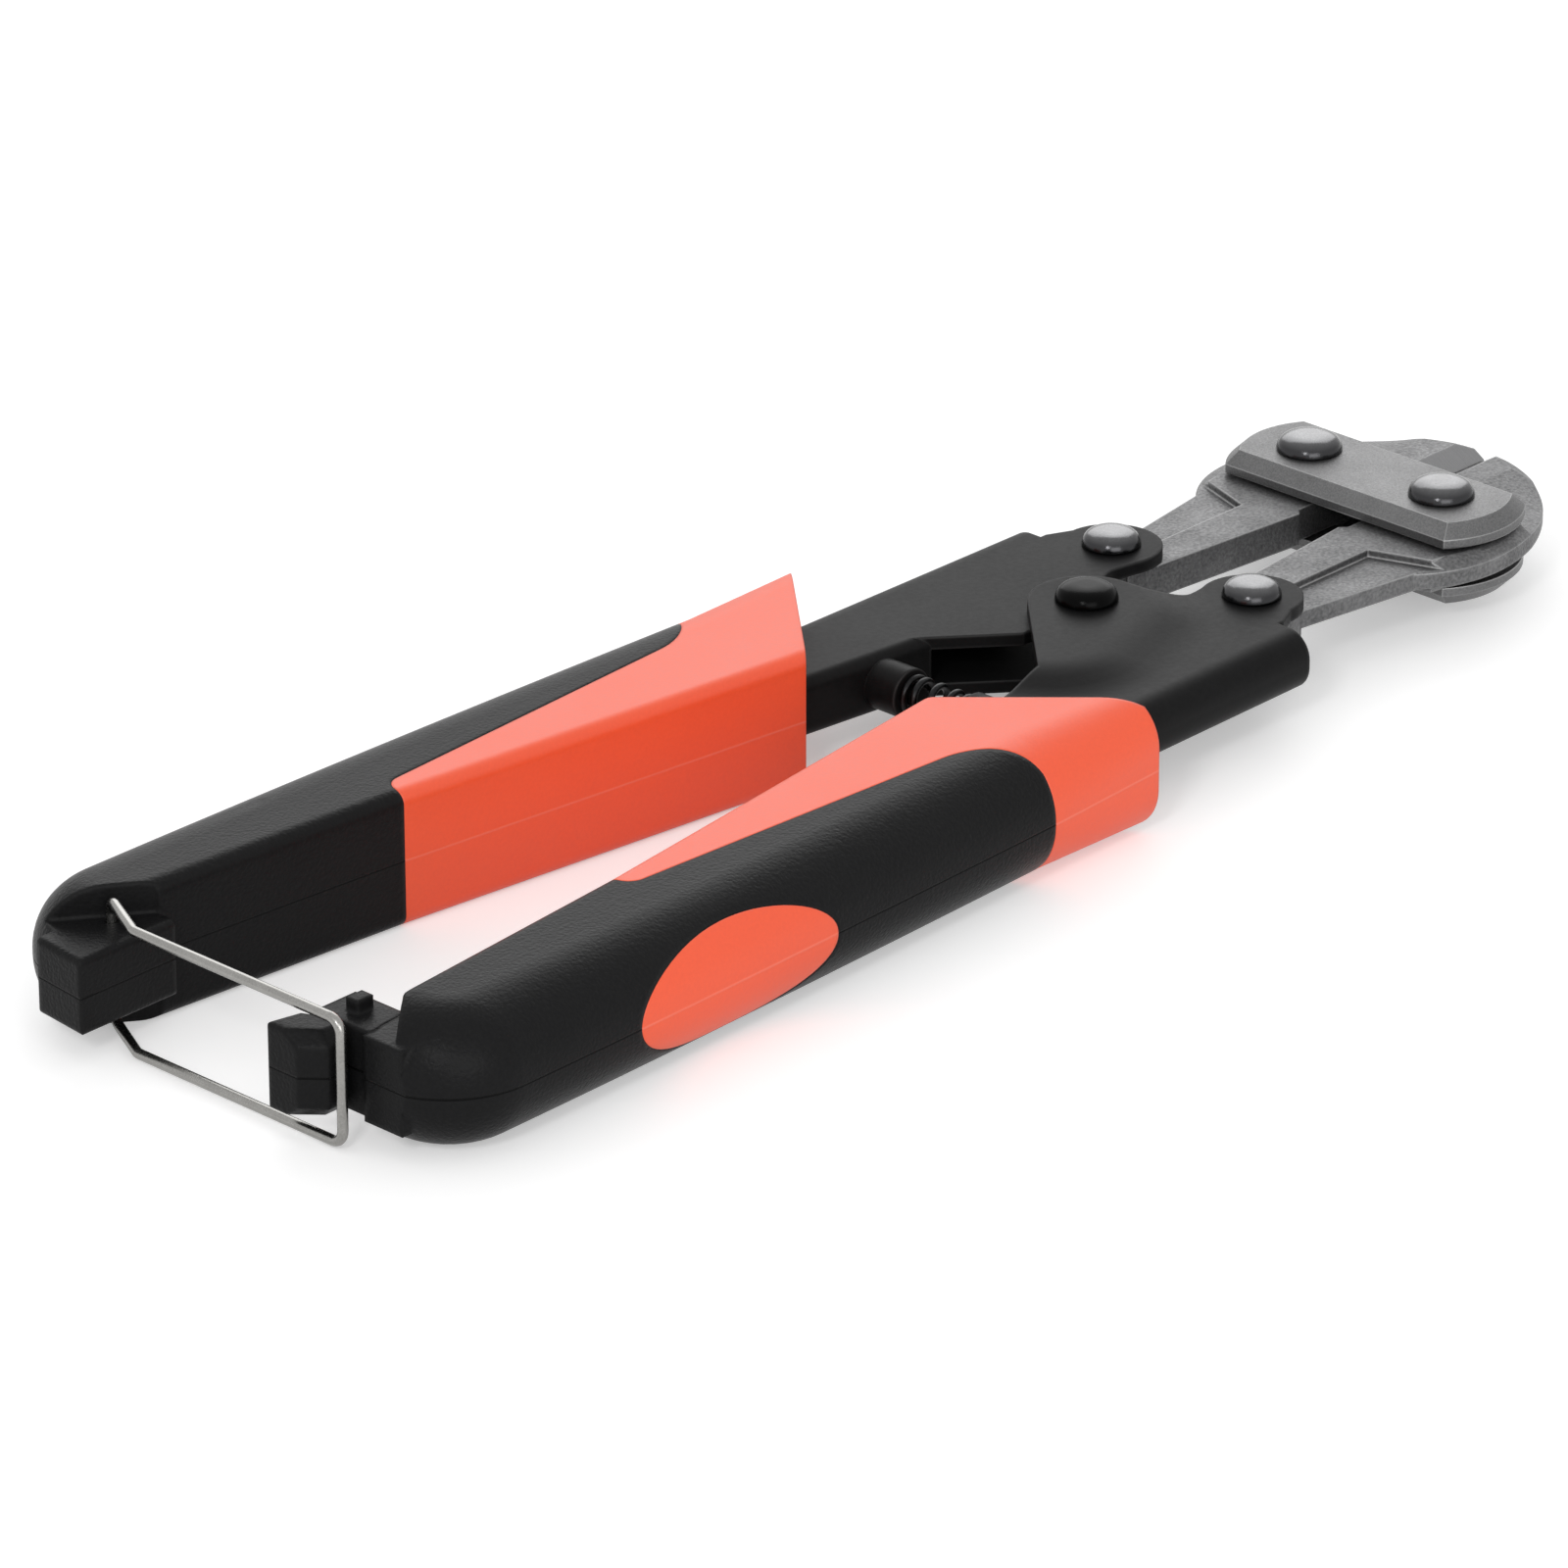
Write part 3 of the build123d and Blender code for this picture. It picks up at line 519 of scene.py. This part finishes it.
grip_black, tree, shader, coordinates = new_material("grip_black")
shader.inputs["Specular IOR Level"].default_value = 0.06
edge = place_group(tree, rounded_edge, {"Radius": 0.0009, "Gain": 4.0})
grain = place_group(tree, fine_grain, {"Vector": coordinates, "Grain": 2300.0, "Patch": 70.0})
seam = place_group(tree, mould_seam, {"Vector": coordinates, "Width": 0.00016})["Seam"]
rubber = tint(tree, grain["Tone"], rubber_dark, rubber_light)
rubber = tint(tree, seam, rubber, rubber_seam)
rubber = tint(tree, calc(tree, "MULTIPLY", edge["Edge"], rubber_wear), rubber, rubber_worn)
rough = ease(tree, grain["Tone"], 0.3, 0.38)
height = calc(tree, "MULTIPLY_ADD", seam, seam_groove, grain["Height"])
finish_shader(tree, shader, rubber, rough, height, rubber_grain_depth, edge["Normal"])
dress(grip_black, "grip_cover_far", "grip_cover_near", "latch_hook")


# Bail
# A loop of nickel plated spring wire, bent on a former, with drawn lines along the wire. Its
# turned-in ends sit in two blind holes of the far grip's tongue.
nickel_dark = (0.25, 0.246, 0.234, 1)
nickel_light = (0.35, 0.344, 0.33, 1)
drawn_scale = (9000.0, 300.0, 9000.0)
drawn_depth = 0.000004

bail_wire, tree, shader, coordinates = new_material("bail_wire")
shader.inputs["Metallic"].default_value = 1.0
drawn = fine_lines(tree, coordinates, drawn_scale, 2.0)
grain = place_group(tree, fine_grain, {"Vector": coordinates, "Grain": 5000.0, "Patch": 400.0})
nickel = tint(tree, grain["Tone"], nickel_dark, nickel_light)
rough = ease(tree, grain["Tone"], 0.2, 0.3)
edge = place_group(tree, rounded_edge, {"Radius": 0.00025, "Gain": 1.0})
finish_shader(tree, shader, nickel, rough, drawn, drawn_depth, edge["Normal"])
dress(bail_wire, "bail")


# Floor and studio light
# A white floor sheet that the tool lies on, lit as in a product studio: a wide soft box behind
# the jaws, a fill in front, a small lamp at the camera's left and a pale surround.
def seen_directly(tree):
    """One for rays from the camera and for mirrored or passed rays, else nought."""
    ray = tree.nodes.new("ShaderNodeLightPath").outputs
    seen = calc(tree, "MAXIMUM", ray["Is Camera Ray"], ray["Is Glossy Ray"])
    return calc(tree, "MAXIMUM", seen, ray["Is Transmission Ray"])


def soft_box(name, place, aim, width, depth, power):
    """An area lamp that looks at a point."""
    lamp = bpy.data.lights.new(name, "AREA")
    lamp.shape = "RECTANGLE"
    lamp.size = width
    lamp.size_y = depth
    lamp.energy = power
    holder = bpy.data.objects.new(name, lamp)
    holder.location = place
    holder.rotation_mode = "QUATERNION"
    holder.rotation_quaternion = (Vector(aim) - Vector(place)).to_track_quat("-Z", "Y")
    bpy.context.scene.collection.objects.link(holder)


floor_half = 3.0
floor_glow = 0.35
surround_light = 0.66
surround_seen = 0.34

floor_white = bpy.data.materials.new("floor_white")
floor_white.use_nodes = True
tree = floor_white.node_tree
shader = tree.nodes["Principled BSDF"]
shader.inputs["Base Color"].default_value = (0.82, 0.82, 0.82, 1)
shader.inputs["Roughness"].default_value = 0.9
shader.inputs["Specular IOR Level"].default_value = 0.0
shader.inputs["Emission Color"].default_value = (1, 1, 1, 1)
glow = calc(tree, "MULTIPLY", seen_directly(tree), floor_glow)
tree.links.new(glow, shader.inputs["Emission Strength"])

corners = [
    (-floor_half, -floor_half, 0), (floor_half, -floor_half, 0),
    (floor_half, floor_half, 0), (-floor_half, floor_half, 0)]
sheet = bpy.data.meshes.new("floor")
sheet.from_pydata(corners, [], [(0, 1, 2, 3)])
sheet.materials.append(floor_white)
floor = bpy.data.objects.new("floor", sheet)
bpy.context.scene.collection.objects.link(floor)

world = bpy.data.worlds.new("studio")
bpy.context.scene.world = world
world.use_nodes = True
tree = world.node_tree
backdrop = tree.nodes["Background"]
backdrop.inputs["Color"].default_value = (1, 1, 1, 1)
brightness = calc(tree, "MULTIPLY_ADD", seen_directly(tree), surround_seen, surround_light)
tree.links.new(brightness, backdrop.inputs["Strength"])

soft_box("back_box", place=(0.8, 0.75, 0.66), aim=(0, 0, 0), width=1.2, depth=0.8, power=5.4)
soft_box("front_fill", place=(-0.5, -0.9, 0.4), aim=(0, 0, 0), width=0.7, depth=0.5, power=3.2)
soft_box("left_lamp", place=(-0.86, -0.44, 0.68), aim=(-0.08, 0, 0), width=0.2, depth=0.2, power=2.6)


# Camera
# A long lens at the latch end, a little above the tool and turned along the near handle. It is
# shifted so that the tool fills the frame as in the photo.
aim = Vector((-0.00912, 0, 0.0082))
azimuth = radians(-47.0)
elevation = radians(24.84)
distance = 1.0506
back = Vector((sin(azimuth) * cos(elevation), -cos(azimuth) * cos(elevation), sin(elevation)))
lens = bpy.data.cameras.new("camera")
lens.sensor_width = 36.0
lens.lens = 216.2
lens.shift_x = -0.0253
lens.shift_y = -0.0158
camera = bpy.data.objects.new("camera", lens)
camera.location = aim + back * distance
camera.rotation_mode = "QUATERNION"
camera.rotation_quaternion = (-back).to_track_quat("-Z", "Y")
bpy.context.scene.collection.objects.link(camera)
bpy.context.scene.camera = camera
bpy.context.scene.view_settings.view_transform = "Standard"
